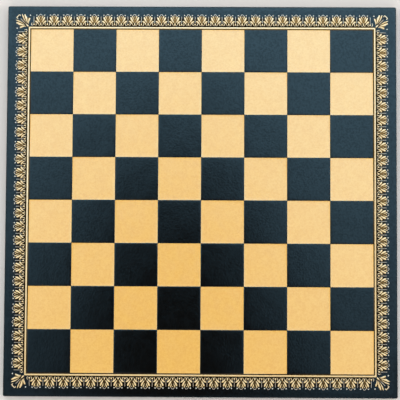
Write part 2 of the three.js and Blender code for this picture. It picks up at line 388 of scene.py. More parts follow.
def pebble_grain():
    """Embossed leather: the pebbles' height, the creases between them and longer wrinkles."""
    tree, vector, scale, result = new_group("Pebble grain", ("Height", "Crease", "Wrinkle"))
    wander = noise(tree, vector, math_node(tree, "MULTIPLY", scale, WANDER_SCALE), WANDER_DETAIL)
    shift = add(tree, "ShaderNodeVectorMath", operation="SCALE")
    reach = math_node(tree, "DIVIDE", WANDER_REACH, scale)
    feed(tree, shift, {0: wander.outputs["Color"], "Scale": reach})
    moved = vector_math(tree, "ADD", vector, shift.outputs[0])[0]
    cells = add(tree, "ShaderNodeTexVoronoi", feature="SMOOTH_F1")
    feed(tree, cells, {"Vector": moved, "Scale": scale, "Smoothness": PEBBLE_SMOOTHNESS})
    pebbles = remap(tree, cells.outputs["Distance"], *PEBBLE_DOME)
    fine = noise(tree, vector, math_node(tree, "MULTIPLY", scale, FINE_SCALE))
    wrinkle = noise(tree, moved, math_node(tree, "MULTIPLY", scale, WRINKLE_SCALE), *WRINKLE_NOISE)
    values = {
        "Height": add_share(tree, pebbles, fine.outputs["Fac"], FINE_HEIGHT),
        "Crease": remap(tree, cells.outputs["Distance"], *PEBBLE_CREASE),
        "Wrinkle": wrinkle.outputs["Fac"],
    }
    feed(tree, result, values)


WAVE_NOISE = (2.0, 0.45)
BLOTCH_SCALE = 4.0
BLOTCH_NOISE = (4.0, 0.6)
BLOTCH_RANGE = (0.3, 0.7)


def soft_unevenness():
    """Slow waves of a sheet glued over a panel, and smaller blotches."""
    tree, vector, scale, result = new_group("Soft unevenness", ("Height", "Blotch"))
    waves = noise(tree, vector, scale, *WAVE_NOISE)
    blotch = noise(tree, vector, math_node(tree, "MULTIPLY", scale, BLOTCH_SCALE), *BLOTCH_NOISE)
    mottle = remap(tree, blotch.outputs["Fac"], *BLOTCH_RANGE)
    feed(tree, result, {"Height": waves.outputs["Fac"], "Blotch": mottle})


PATCH_NOISE = (3.0, 0.65)
PATCH_RANGE = (0.56, 0.74)
# Wear along the rim: where it sets in, and the streaks that break it up
RIM_EDGE = (SHEET_HIGH.x - 1.6 * MM, SHEET_HIGH.x - 0.2 * MM)
STREAK_NOISE = (160.0, 3.0, 0.6)
STREAK_RANGE = (0.42, 0.7)


def rubbed_patches():
    """Scattered rubbing: a mask of small worn patches, and one of wear along the board's rim."""
    tree, vector, scale, result = new_group("Rubbed patches", ("Patches", "Rim"))
    spots = noise(tree, vector, scale, *PATCH_NOISE)
    patches = remap(tree, spots.outputs["Fac"], *PATCH_RANGE)
    rim = remap(tree, square_reach(tree, vector)[0], *RIM_EDGE)
    streaks = remap(tree, noise(tree, vector, *STREAK_NOISE).outputs["Fac"], *STREAK_RANGE)
    feed(tree, result, {"Patches": patches, "Rim": math_node(tree, "MULTIPLY", rim, streaks)})


# Finishes: scales are per metre, and a bump is its depth and its strength


def new_material(name):
    """A new material's tree, its shader and its object coordinates."""
    material = bpy.data.materials.new(name)
    material.use_nodes = True
    tree = material.node_tree
    shader = next(n for n in tree.nodes if n.type == "BSDF_PRINCIPLED")
    return tree, shader, add(tree, "ShaderNodeTexCoord").outputs["Object"]


LEATHERETTE_WAVES = 22.0
LEATHERETTE_RUBBING = 300.0
# Share of the sheet's colour left in the creases between the pebbles: painted shade
CREASE_SHADE = 0.5
RIM_WEAR = 0.4
# Where the hot stamp browns the sheet: it sets in at the field's edge and fades beyond the palmettes
STAMPED_START = (FIELD_HALF - 0.4 * MM, FIELD_HALF + 0.2 * MM)
STAMPED_END = (FIELD_HALF + 14.5 * MM, FIELD_HALF + 9.0 * MM)
STAMPED_CORNER = (FIELD_HALF - 3.5 * MM, FIELD_HALF - 1.5 * MM)
# The strip inside the gilt line takes some of its gold; its edge lies under the line
GILDED_EDGE = (FIELD_HALF + 1.9 * MM, FIELD_HALF + 1.3 * MM)
# How much the stamp and the valleys of the grain take off the gloss
STAMPED_DULLNESS = 0.92
VALLEY_DULLNESS = (0.58, 0.36, 0.0, 0.27)
LEATHERETTE_ROUGHNESS = (0.08, 0.11)
CREASE_ROUGHNESS = 0.03
LEATHERETTE_WAVE_BUMP = (1.0 * MM, 0.25)
LEATHERETTE_WRINKLE_BUMP = (0.1 * MM, 0.42)
LEATHERETTE_PEBBLE_BUMP = (0.12 * MM, 0.06)
LEATHERETTE_GLOSS = {"Specular IOR Level": 0.76, "Specular Tint": (0.6, 0.85, 1.0, 1.0)}


def leatherette_finish(colours, sizes):
    """Blue-black leatherette: pebbled, browned by the stamp, greyer where its rim is rubbed."""
    tree, shader, vector = new_material("Leatherette")
    grain = place_group(tree, "Pebble grain", 1.0 / sizes.grain, vector)
    waves = place_group(tree, "Soft unevenness", LEATHERETTE_WAVES, vector)
    rub = place_group(tree, "Rubbed patches", LEATHERETTE_RUBBING, vector)
    # The creases between the pebbles are painted darker: painted shade in the grain
    shaded_creases = [c * CREASE_SHADE for c in colours.leatherette]
    tone = blend_colours(tree, grain.outputs["Crease"], colours.leatherette, shaded_creases)
    worn = math_node(tree, "MULTIPLY", rub.outputs["Rim"], RIM_WEAR)
    tone = blend_colours(tree, worn, tone, colours.leatherette_worn)
    reach, aside = square_reach(tree, vector)
    gilded = remap(tree, reach, *GILDED_EDGE)
    corner = math_node(tree, "MAXIMUM", remap(tree, aside, *STAMPED_CORNER, 1.0, 0.0), gilded)
    stamped = remap(tree, reach, *STAMPED_START)
    stamped = math_node(tree, "MULTIPLY", stamped, remap(tree, reach, *STAMPED_END))
    stamped = math_node(tree, "MULTIPLY", stamped, corner)
    brown = blend_colours(tree, gilded, colours.leatherette_stamped, colours.leatherette_gilded)
    valley = remap(tree, grain.outputs["Wrinkle"], *VALLEY_DULLNESS)
    dulled = math_node(tree, "MAXIMUM", math_node(tree, "MULTIPLY", stamped, STAMPED_DULLNESS), valley)
    rough = remap(tree, waves.outputs["Blotch"], 0.0, 1.0, *LEATHERETTE_ROUGHNESS)
    normal = bump(tree, waves.outputs["Height"], *LEATHERETTE_WAVE_BUMP)
    normal = bump(tree, grain.outputs["Wrinkle"], *LEATHERETTE_WRINKLE_BUMP, normal)
    normal = bump(tree, grain.outputs["Height"], *LEATHERETTE_PEBBLE_BUMP, normal)
    values = {
        "Base Color": blend_colours(tree, stamped, tone, brown),
        "Metallic": dulled,
        "Roughness": add_share(tree, rough, grain.outputs["Crease"], CREASE_ROUGHNESS),
        "Normal": normal,
        **LEATHERETTE_GLOSS,
    }
    feed(tree, shader, values)


CREAM_WAVES = 26.0
CREAM_RUBBING = 420.0
# How much blotches, creases, rubbing and wrinkles deepen the cream; creases and wrinkles as painted shade
BLOTCH_MOTTLE = 0.3
CREAM_CREASE_SHADE = 0.35
RUBBED_MOTTLE = 0.15
CREAM_WRINKLE_SHADE = (0.6, 0.36, 0.0, 0.55)
CREAM_ROUGHNESS = (0.14, 0.19)
CREAM_WAVE_BUMP = (0.8 * MM, 0.25)
CREAM_PEBBLE_BUMP = (0.05 * MM, 0.12)
CREAM_GLOSS = {
    "IOR": 1.78,
    "Specular Tint": (0.5, 0.95, 1.0, 1.0),
    "Specular IOR Level": 1.0,
    "Coat Weight": 1.0,
    "Coat Roughness": 0.14,
}


def cream_finish(colours, sizes):
    """Cream pigment pressed flat: faint pebbles, warm mottling with painted shade in the creases, satin."""
    tree, shader, vector = new_material("Cream pigment")
    grain = place_group(tree, "Pebble grain", 1.0 / sizes.grain, vector)
    waves = place_group(tree, "Soft unevenness", CREAM_WAVES, vector)
    rub = place_group(tree, "Rubbed patches", CREAM_RUBBING, vector)
    mottle = math_node(tree, "MULTIPLY", waves.outputs["Blotch"], BLOTCH_MOTTLE)
    # Creases and wrinkle valleys deepen the cream as painted shade; blotches and rubbing are its own tone
    mottle = add_share(tree, mottle, grain.outputs["Crease"], CREAM_CREASE_SHADE)
    mottle = add_share(tree, mottle, rub.outputs["Patches"], RUBBED_MOTTLE)
    mottle = math_node(tree, "ADD", mottle, remap(tree, grain.outputs["Wrinkle"], *CREAM_WRINKLE_SHADE))
    normal = bump(tree, waves.outputs["Height"], *CREAM_WAVE_BUMP)
    values = {
        "Base Color": blend_colours(tree, mottle, colours.cream, colours.cream_deep),
        "Roughness": remap(tree, waves.outputs["Blotch"], 0.0, 1.0, *CREAM_ROUGHNESS),
        "Normal": bump(tree, grain.outputs["Height"], *CREAM_PEBBLE_BUMP, normal),
        **CREAM_GLOSS,
    }
    feed(tree, shader, values)


# The foil takes a finer grain than the bare sheet
GILT_GRAIN = 1.4
GILT_RUBBING = 520.0
RUBBED_GILT = 0.2
CREASE_SHADED_GILT = 0.12
GILT_ROUGHNESS = (0.16, 0.21)
# How metallic bright foil, the shaded ground and pale foil look
BRIGHT_METAL = 0.12
GROUND_METAL = 1.0
PALE_METAL = 0.27
GILT_BUMP = (0.06 * MM, 0.15)
GILT_GLOSS = {"IOR": 2.1, "Specular Tint": (0.75, 0.95, 1.0, 1.0), "Specular IOR Level": 1.0}


def gilt_finish(colours, sizes):
    """Pale gold foil with the sheet's grain; browner in the shaded ground, in creases as painted shade, and
    where rubbed.
    """
    tree, shader, vector = new_material("Gilt foil")
    grain = place_group(tree, "Pebble grain", GILT_GRAIN / sizes.grain, vector)
    rub = place_group(tree, "Rubbed patches", GILT_RUBBING, vector)
    shade = add(tree, "ShaderNodeAttribute", attribute_name=SHADE).outputs["Fac"]
    worn = math_node(tree, "MULTIPLY", rub.outputs["Patches"], RUBBED_GILT)
    # Creases brown the foil as painted shade; the rubbed patches are wear
    worn = add_share(tree, worn, grain.outputs["Crease"], CREASE_SHADED_GILT)
    worn = math_node(tree, "MAXIMUM", worn, shade)
    tone = blend_colours(tree, worn, colours.gilt, colours.gilt_deep)
    # Towards the darkest shade the foil takes the dark gilt, which paints the outlines' shadow
    tone = blend_colours(tree, remap(tree, shade, GOLDEN, DARKEST), tone, colours.gilt_dark_and_shadow)
    tone = blend_colours(tree, remap(tree, shade, BRIGHT, PALE), tone, colours.gilt_pale)
    metal = remap(tree, shade, BRIGHT, GOLDEN, BRIGHT_METAL, GROUND_METAL)
    pale_metal = remap(tree, shade, BRIGHT, PALE, BRIGHT_METAL, PALE_METAL)
    values = {
        "Base Color": tone,
        "Metallic": math_node(tree, "MAXIMUM", metal, pale_metal),
        "Roughness": remap(tree, worn, BRIGHT, GOLDEN, *GILT_ROUGHNESS),
        "Normal": bump(tree, grain.outputs["Height"], *GILT_BUMP),
        **GILT_GLOSS,
    }
    feed(tree, shader, values)


FELT_FIBRES = (1800.0, 4.0, 0.7)
FELT_MATTING = 90.0
FELT_BLOOM = 3.0
FELT_ROUGHNESS = (0.88, 1.0)
FELT_BUMP = (0.25 * MM, 0.6)
FELT_SHEEN = {"Sheen Weight": 0.25}


def felt_finish(colours):
    """Black pressed felt: matted fibres with a dull bloom."""
    tree, shader, vector = new_material("Black felt")
    fibres = noise(tree, vector, *FELT_FIBRES).outputs["Fac"]
    matting = place_group(tree, "Soft unevenness", FELT_MATTING, vector)
    share = math_node(tree, "MULTIPLY", fibres, matting.outputs["Blotch"])
    values = {
        "Base Color": blend_colours(tree, share, colours.felt, [c * FELT_BLOOM for c in colours.felt]),
        "Roughness": remap(tree, share, 0.0, 1.0, *FELT_ROUGHNESS),
        "Normal": bump(tree, fibres, *FELT_BUMP),
        **FELT_SHEEN,
    }
    feed(tree, shader, values)


FLECKS = (1200.0, 5.0, 0.7)
FLECK_RANGE = (0.3, 0.7)
FLECK_TONE = 0.75
FIBREBOARD_ROUGHNESS = (0.8, 0.95)
FIBREBOARD_BUMP = (0.1 * MM, 0.4)


def fibreboard_finish(colours):
    """Raw fibreboard: fine flecks of pressed wood."""
    tree, shader, vector = new_material("Fibreboard")
    flecks = noise(tree, vector, *FLECKS).outputs["Fac"]
    share = remap(tree, flecks, *FLECK_RANGE)
    dark = [c * FLECK_TONE for c in colours.fibreboard]
    values = {
        "Base Color": blend_colours(tree, share, dark, colours.fibreboard),
        "Roughness": remap(tree, flecks, 0.0, 1.0, *FIBREBOARD_ROUGHNESS),
        "Normal": bump(tree, flecks, *FIBREBOARD_BUMP),
    }
    feed(tree, shader, values)


class CHESSBOARD_OT_finishes(bpy.types.Operator):
    """Makes the shared effects and the finishes of the board"""

    bl_idname = "chessboard.finishes"
    bl_label = "Finishes"

    def execute(self, context):
        colours = context.scene.chessboard_colours
        sizes = context.scene.chessboard_sizes
        for effect in (pebble_grain, soft_unevenness, rubbed_patches):
            effect()
        for finish in (leatherette_finish, cream_finish, gilt_finish):
            finish(colours, sizes)
        for finish in (felt_finish, fibreboard_finish):
            finish(colours)
        return {"FINISHED"}


# Mesh building blocks


def only(geometry, kind):
    """The elements of one bmesh type in a list of geometry."""
    return [g for g in geometry if isinstance(g, kind)]


def make_piece(bm, name, material, nodes, sharp_degrees=SHARP_DEGREES):
    """Makes a finished bmesh an object that rides on the board and stands for its nodes."""
    if not bm.faces or any(len(e.link_faces) != 2 for e in bm.edges):
        raise RuntimeError(f"{name} isn't a closed form")
    bmesh.ops.recalc_face_normals(bm, faces=bm.faces)
    for face in bm.faces:
        face.smooth = True
    mesh = bpy.data.meshes.new(name)
    bm.to_mesh(mesh)
    bm.free()
    mesh.set_sharp_from_angle(angle=math.radians(sharp_degrees))
    mesh.materials.append(bpy.data.materials[material])
    piece = bpy.data.objects.new(name, mesh)
    bpy.context.scene.collection.objects.link(piece)
    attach(piece, BODY)
    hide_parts(*nodes)
    return piece


def raise_form(bm, faces, height):
    """Raises flat faces on walls of their own and returns the new geometry on top."""
    edges = {e for f in faces for e in f.edges}
    made = bmesh.ops.extrude_face_region(bm, geom=[*faces, *edges])["geom"]
    bmesh.ops.translate(bm, vec=(0.0, 0.0, height), verts=only(made, bmesh.types.BMVert))
    return made


def inset_rings(bm, faces, rings):
    """Insets each face ring by ring, with each ring's inset and rise in mm."""
    for inset, rise in rings:
        bmesh.ops.inset_individual(
            bm, faces=faces, thickness=inset * MM, depth=rise * MM, use_even_offset=True
        )


def round_edges(bm, edges, offset, segments):
    """Rounds some edges and returns the new geometry."""
    return bmesh.ops.bevel(
        bm, geom=edges, offset=offset, segments=segments, profile=0.5, affect="EDGES", material=-1
    )


# Leatherette and squares


def is_light(file_index, rank_index):
    """Whether a square is light, counted from a1 at 0, 0."""
    return (file_index + rank_index) % 2 == 1


def extend_rim(bm, rim, half, level):
    """Extrudes an open square rim and carries it to a new half width and level."""
    made = bmesh.ops.extrude_edge_only(bm, edges=rim)["geom"]
    verts = only(made, bmesh.types.BMVert)
    old_half = max(abs(v.co.x) for v in verts)
    old_level = verts[0].co.z
    share = half / old_half
    bmesh.ops.scale(bm, vec=(share, share, 1.0), verts=verts)
    bmesh.ops.translate(bm, vec=(0.0, 0.0, level - old_level), verts=verts)
    moved = set(verts)
    return [e for e in only(made, bmesh.types.BMEdge) if e.verts[0] in moved and e.verts[1] in moved]


def round_over(centre_half, centre_level, radius, start, end):
    """Half widths and levels along a quarter round of the sheet's edge."""
    steps = []
    for step in range(1, ROUND_STEPS + 1):
        angle = math.radians(start + (end - start) * step / ROUND_STEPS)
        steps.append((centre_half + radius * math.sin(angle), centre_level + radius * math.cos(angle)))
    return steps


def on_diagonal(vert):
    """Whether a point lies on one of the board's diagonals."""
    return abs(abs(vert.co.x) - abs(vert.co.y)) < SAME_PLACE


def sheet_profile(sizes):
    """The sheet's section from the field's edge over the side to the closed inner face."""
    top, bottom = SHEET_HIGH.z, SHEET_LOW.z
    line_inner = LINE_HIGH.x - sizes.line_width
    press = sizes.press_level
    groove = LINE_LOW.z
    straight = SHEET_HIGH.x - sizes.edge_radius
    profile = [
        (FIELD_HALF + LIP_WIDTH, top - LIP_PRESS * press),
        (line_inner - GROOVE_WALL, top - WALL_PRESS * press),
        (line_inner, groove),
        (LINE_HIGH.x, groove),
    ]
    profile += [(LINE_HIGH.x + out * MM, top - share * press) for out, share in GROOVE_RISE]
    profile += [(straight - RIM_FLAT, top), (straight, top)]
    profile += round_over(straight, top - sizes.edge_radius, sizes.edge_radius, 0, 90)
    profile.append((SHEET_HIGH.x, bottom + sizes.edge_radius))
    profile += round_over(straight, bottom + sizes.edge_radius, sizes.edge_radius, 90, 180)
    opening = SHEET_HIGH.x - sizes.turn_in
    hollow = SHEET_HIGH.x - sizes.sheet_thickness
    profile += [
        (opening, bottom),
        (opening, bottom + sizes.sheet_thickness),
        (hollow, bottom + sizes.sheet_thickness),
        (hollow, top - sizes.sheet_thickness),
    ]
    return profile


def press_mitres(bm, level):
    """Opens the seams where two turn-ins meet under a corner."""
    seams = [
        e
        for e in bm.edges
        if all(on_diagonal(v) and abs(v.co.z - level) < SAME_PLACE for v in e.verts)
    ]
    made = round_edges(bm, seams, MITRE_HALF, MITRE_STEPS)
    bottoms = [v for v in made["verts"] if on_diagonal(v)]
    bmesh.ops.translate(bm, vec=(0.0, 0.0, MITRE_DEPTH), verts=bottoms)


def round_corners(bm, sizes):
    """Rounds the sheet's upright corners."""
    upright = SHEET_HIGH.x - CORNER_SHARE * sizes.edge_radius
    corners = [
        e
        for e in bm.edges
        if all(on_diagonal(v) for v in e.verts) and max(abs(v.co.x) for v in e.verts) > upright
    ]
    round_edges(bm, corners, sizes.corner_radius, CORNER_STEPS)


def tuck_corners(bm, sizes):
    """Folds a narrow seam into the two long sides beside each upright corner."""
    seam = SHEET_HIGH.x - TUCK_REACH
    side = SHEET_HIGH.x - SIDE_TOLERANCE
    low, high = SHEET_LOW.z + sizes.edge_radius, SHEET_HIGH.z - sizes.edge_radius
    for sign in (-1.0, 1.0):
        for shift in (-TUCK_HALF, 0.0, TUCK_HALF):
            walls = []
            for face in bm.faces:
                centre = face.calc_center_median()
                if abs(face.normal.y) > SIDE_NORMAL and low < centre.z < high and abs(centre.y) > side:
                    walls.append(face)
            geometry = walls + [e for f in walls for e in f.edges] + [v for f in walls for v in f.verts]
            place = (sign * (seam + shift), 0.0, 0.0)
            bmesh.ops.bisect_plane(bm, geom=list(set(geometry)), plane_co=place, plane_no=(1.0, 0.0, 0.0))
    for vert in bm.verts:
        if abs(abs(vert.co.x) - seam) < SAME_PLACE and abs(vert.co.y) > side:
            vert.co.y -= math.copysign(TUCK_DEPTH, vert.co.y)


class CHESSBOARD_OT_leatherette_sheet(bpy.types.Operator):
    """Wraps the panel in leatherette with crowned dark squares and pressed light ones"""

    bl_idname = "chessboard.leatherette_sheet"
    bl_label = "Leatherette sheet"

    def execute(self, context):
        sizes = context.scene.chessboard_sizes
        bm = bmesh.new()
        bmesh.ops.create_grid(
            bm, x_segments=SQUARES_PER_SIDE, y_segments=SQUARES_PER_SIDE, size=FIELD_HALF
        )
        bmesh.ops.translate(bm, vec=(0.0, 0.0, SHEET_HIGH.z - sizes.press_level), verts=bm.verts)
        light, dark = [], []
        for face in bm.faces:
            centre = face.calc_center_median()
            file_index = int((centre.x + FIELD_HALF) / SQUARE)
            rank_index = int((centre.y + FIELD_HALF) / SQUARE)
            (light if is_light(file_index, rank_index) else dark).append(face)
        inset_rings(bm, dark, CROWN_RINGS)
        inset_rings(bm, light, PRESSED_RINGS)
        rim = [e for e in bm.edges if e.is_boundary]
        for half, level in sheet_profile(sizes):
            rim = extend_rim(bm, rim, half, level)
        bmesh.ops.edgeloop_fill(bm, edges=rim)
        bmesh.ops.recalc_face_normals(bm, faces=bm.faces)
        press_mitres(bm, SHEET_LOW.z)
        round_corners(bm, sizes)
        tuck_corners(bm, sizes)
        nodes = ["leather_cover"]
        make_piece(bm, "leatherette_sheet", "Leatherette", nodes, SHEET_SHARP_DEGREES)
        return {"FINISHED"}


class CHESSBOARD_OT_light_squares(bpy.types.Operator):
    """Lays a dished film of cream pigment in each pressed light square"""

    bl_idname = "chessboard.light_squares"
    bl_label = "Light squares"

    def execute(self, context):
        for file_index, letter in enumerate(FILES):
            for rank_index in range(SQUARES_PER_SIDE):
                if is_light(file_index, rank_index):
                    self.lay_square(f"{letter}{rank_index + 1}")
        return {"FINISHED"}

    def lay_square(self, square):
        """Models one square's film from its node's box."""
        node = f"light_square_{square}"
        low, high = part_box(node)
        centre = (low + high) / 2
        bm = bmesh.new()
        bmesh.ops.create_grid(bm, x_segments=1, y_segments=1, size=SQUARE / 2 - FOIL_GAP)
        bmesh.ops.translate(bm, vec=(centre.x, centre.y, low.z), verts=bm.verts)
        top = only(raise_form(bm, bm.faces[:], high.z - low.z), bmesh.types.BMFace)
        inset_rings(bm, top, DISH_RINGS)
        make_piece(bm, f"cream_square_{square}", "Cream pigment", [node])


class CHESSBOARD_OT_frame_line(bpy.types.Operator):
    """Lays the gilt line round the field"""

    bl_idname = "chessboard.frame_line"
    bl_label = "Frame line"

    def execute(self, context):
        width = context.scene.chessboard_sizes.line_width
        height = LINE_HIGH.z - LINE_LOW.z
        bm = bmesh.new()
        bmesh.ops.create_grid(bm, x_segments=1, y_segments=1, size=LINE_HIGH.x)
        bmesh.ops.translate(bm, vec=(0.0, 0.0, LINE_LOW.z), verts=bm.verts)
        middle = bm.faces[:]
        bmesh.ops.inset_region(bm, faces=middle, thickness=width, use_boundary=True, use_even_offset=True)
        bmesh.ops.delete(bm, geom=middle, context="FACES")
        top = only(raise_form(bm, bm.faces[:], height), bmesh.types.BMFace)
        edges = {e for f in top for e in f.edges}
        shoulders = [e for e in edges if sum(f in top for f in e.link_faces) == 1]
        round_edges(bm, shoulders, LINE_ROUND, LINE_STEPS)
        make_piece(bm, "gilt_frame_line", "Gilt foil", ["gold_frame_line"])
        return {"FINISHED"}


# Gilt ornament


def new_motif():
    """A bmesh whose points carry how deep in shade their foil is."""
    bm = bmesh.new()
    bm.verts.layers.float.new(SHADE)
    return bm


def finish_form(bm, start, form, base_share, shade, taper=EVEN):
    """Carries the points from start on onto a form's curve from base over bend to tip, and shades them."""
    *points, width = form
    base, bend, tip = (Vector(point) for point in points)
    layer = bm.verts.layers.float[SHADE]
    bm.verts.ensure_lookup_table()
    for vert in bm.verts[start:]:
        share = max(vert.co.x + UNIT_HALF, 0.0) ** taper
        heading = (bend - base).lerp(tip - bend, share).normalized()
        spot = base.lerp(bend, share).lerp(bend.lerp(tip, share), share)
        side = vert.co.y * width * (base_share + (1.0 - base_share) * share)
        vert.co.x = (spot.x - heading.y * side) * MM
        vert.co.y = (spot.y + heading.x * side) * MM
        vert[layer] = shade


def add_petal(bm, form, relief, sides=PETAL_SIDES, base_share=PETAL_BASE, shade=BRIGHT, taper=EVEN):
    """A domed petal that widens from its base to its round tip."""
    start = len(bm.verts)
    disc = bmesh.ops.create_circle(bm, cap_ends=True, segments=sides, radius=UNIT_HALF)["verts"]
    rise = relief / 2
    made = raise_form(bm, disc[0].link_faces[:], rise)
    top = only(made, bmesh.types.BMFace)
    bmesh.ops.inset_individual(bm, faces=top, thickness=PETAL_SHOULDER, depth=rise, use_even_offset=True)
    finish_form(bm, start, form, base_share, shade, taper)


def add_dot(bm, form, relief, shade=BRIGHT):
    """A small round boss."""
    (across, outward), diameter = form
    half = diameter / 2
    points = ((across - half, outward), (across, outward), (across + half, outward))
    add_petal(bm, (*points, diameter), relief, DOT_SIDES, 1.0, shade)


def add_stroke(bm, form, relief, shade, end_share=STROKE_END, steps=STROKE_STEPS):
    """A line with a chamfered top and narrowed ends along a curve."""
    start = len(bm.verts)
    bmesh.ops.create_grid(bm, x_segments=steps, y_segments=1, size=UNIT_HALF)
    bm.verts.ensure_lookup_table()
    faces = list({f for v in bm.verts[start:] for f in v.link_faces})
    made = raise_form(bm, faces, relief)
    bmesh.ops.scale(bm, vec=(1.0, STROKE_TOP, 1.0), verts=only(made, bmesh.types.BMVert))
    bm.verts.ensure_lookup_table()
    ends = [v for v in bm.verts[start:] if UNIT_HALF - abs(v.co.x) < SAME_PLACE]
    bmesh.ops.scale(bm, vec=(1.0, end_share, 1.0), verts=ends)
    finish_form(bm, start, form, 1.0, shade)


def add_arch(bm, across, outward, radius, width, relief, shade):
    """A round arch: two strokes that meet at its top."""
    middle = sum(ARCH_SPAN) / 2
    for foot in ARCH_SPAN:
        reach = radius / math.cos(math.radians(middle - foot) / 2)
        half = (foot + middle) / 2
        points = []
        for angle, distance in ((foot, radius), (half, reach), (middle, radius)):
            turn = math.radians(angle)
            points.append((across + distance * math.cos(turn), outward + distance * math.sin(turn)))
        add_stroke(bm, (*points, width), relief, shade, ARCH_END)


def mirrored(form, sign):
    """A form on the right or the left of its axis."""
    *points, width = form
    return (*((sign * x, y) for x, y in points), width)


def swapped(form):
    """A form on the other side of a corner's diagonal."""
    *points, width = form
    return (*((y, x) for x, y in points), width)


def stepped(relief, rank):
    """A form's height by its rank, so that overlapping tops never share one level."""
    return relief * (1.0 - RANK_STEP * rank)


def palmette_motif(relief):
    """One palmette round the axis X = 0, outward along Y from the field's edge."""
    bm = new_motif()
    ground = GROUND_SHARE * relief
    line = STROKE_SHARE * relief
    for sign in (-1.0, 1.0):
        for rank, form in enumerate(PALMETTE_GROUND):
            add_petal(bm, mirrored(form, sign), stepped(ground, rank + sign), shade=DEEP)
        for rank, (*form, taper) in enumerate(PALMETTE_PETALS):
            add_petal(bm, mirrored(form, sign), stepped(relief, rank), taper=taper)
        add_stroke(bm, mirrored(PALMETTE_CUP, sign), line, DULL)
        add_dot(bm, mirrored(DOT, sign), relief, PALE)
    for rank, (*form, shade) in enumerate(PALMETTE_HEART, len(PALMETTE_GROUND) + 1):
        add_petal(bm, form, stepped(ground, rank), base_share=HEART_BASE, shade=shade)
    add_dot(bm, EYE, EYE_SHARE * relief)
    add_arch(bm, *CROWN_ARCH, line, PALE)
    add_petal(bm, PALMETTE_PIP, relief, DOT_SIDES, PIP_BASE, taper=FANNED)
    return bm


def pipe_motif(relief):
    """One pipe with its pip and the two curls beside it."""
    bm = new_motif()
    line = STROKE_SHARE * relief
    add_stroke(bm, PIPE, line, PALE, PIPE_END, 1)
    add_petal(bm, PIPE_PIP, relief, DOT_SIDES, PIP_BASE, taper=FANNED)
    for sign in (-1.0, 1.0):
        add_stroke(bm, mirrored(PIPE_CURL, sign), line, DULL)
    return bm


def leaf_motif(relief):
    """One corner leaf, outward along X and Y from the field's corner."""
    bm = new_motif()
    ground = GROUND_SHARE * relief
    line = STROKE_SHARE * relief
    for turn in (tuple, swapped):
        for rank, form in enumerate(LEAF_GROUND):
            add_petal(bm, turn(form), stepped(ground, rank), base_share=LEAF_BASE, shade=DEEP)
        for rank, (*form, taper) in enumerate(LEAF_PETALS):
            add_petal(bm, turn(form), stepped(relief, rank), base_share=LEAF_BASE, taper=taper)
        # Dark outline: painted shadow of the pressed stamp's edge
        add_stroke(bm, turn(LEAF_OUTLINE), OUTLINE_SHARE * relief, DARKEST)
        add_stroke(bm, turn(LEAF_LOOP_LEG), LEG_SHARE * relief, DULL, LEAF_END)
        add_dot(bm, turn(LEAF_DOT), relief, PALE)
    add_stroke(bm, LEAF_STEM_GROUND, stepped(ground, len(LEAF_GROUND)), DEEP)
    add_petal(bm, LEAF_STEM, line, base_share=PIP_BASE, shade=PALE, taper=FANNED)
    add_stroke(bm, LEAF_LOOP, relief, DULL, LEAF_END)
    add_petal(bm, LEAF_HEEL, relief, base_share=HEEL_BASE)
    add_dot(bm, LEAF_HOLE, HOLE_SHARE * relief, DARKEST)
    return bm


def motif_mesh(bm, name):
    """A motif kept as a mesh, to be stamped many times."""
    mesh = bpy.data.meshes.new(name)
    bm.to_mesh(mesh)
    bm.free()
    return mesh


def stamp(bm, motif, place):
    """Adds a copy of a motif's mesh at a place."""
    start = len(bm.verts)
    bm.from_mesh(motif)
    bm.verts.ensure_lookup_table()
    bmesh.ops.translate(bm, vec=place, verts=bm.verts[start:])


def turn_quarters(bm, turns):
    """Turns a finished side or corner clockwise round the board's centre."""
    turn = Matrix.Rotation(-math.pi / 2 * turns, 3, "Z")
    bmesh.ops.rotate(bm, cent=(0.0, 0.0, 0.0), matrix=turn, verts=bm.verts)


class CHESSBOARD_OT_palmette_border(bpy.types.Operator):
    """Stamps a gilt border of palmettes and pipes along each side"""

    bl_idname = "chessboard.palmette_border"
    bl_label = "Palmette border"

    def execute(self, context):
        sizes = context.scene.chessboard_sizes
        palmette = motif_mesh(palmette_motif(sizes.foil_relief), "palmette")
        pipe = motif_mesh(pipe_motif(sizes.foil_relief), "pipe")
        run = FOIL_HIGH.x - FOIL_LOW.x - PIPE[3] * MM
        palmettes = round(run / sizes.palmette_pitch)
        pitch = run / palmettes
        for turns, side in enumerate(SIDES):
            bm = new_motif()
            for index in range(palmettes + 1):
                axis = index * pitch - run / 2
                stamp(bm, pipe, (axis, FIELD_HALF, SHEET_HIGH.z))
                if index < palmettes:
                    stamp(bm, palmette, (axis + pitch / 2, FIELD_HALF, SHEET_HIGH.z))
            turn_quarters(bm, turns)
            make_piece(bm, f"gilt_border_{side}", "Gilt foil", [f"palmette_border_{side}"])
        for mesh in (palmette, pipe):
            bpy.data.meshes.remove(mesh)
        return {"FINISHED"}


class CHESSBOARD_OT_corner_leaves(bpy.types.Operator):
    """Stamps a gilt leaf at each corner"""

    bl_idname = "chessboard.corner_leaves"
    bl_label = "Corner leaves"

    def execute(self, context):
        relief = context.scene.chessboard_sizes.foil_relief
        for turns, corner in enumerate(CORNERS):
            bm = leaf_motif(relief)
            bmesh.ops.translate(bm, vec=(FIELD_HALF, FIELD_HALF, SHEET_HIGH.z), verts=bm.verts)
            turn_quarters(bm, turns)
            make_piece(bm, f"gilt_leaf_{corner}", "Gilt foil", [f"corner_leaf_{corner}"])
        return {"FINISHED"}


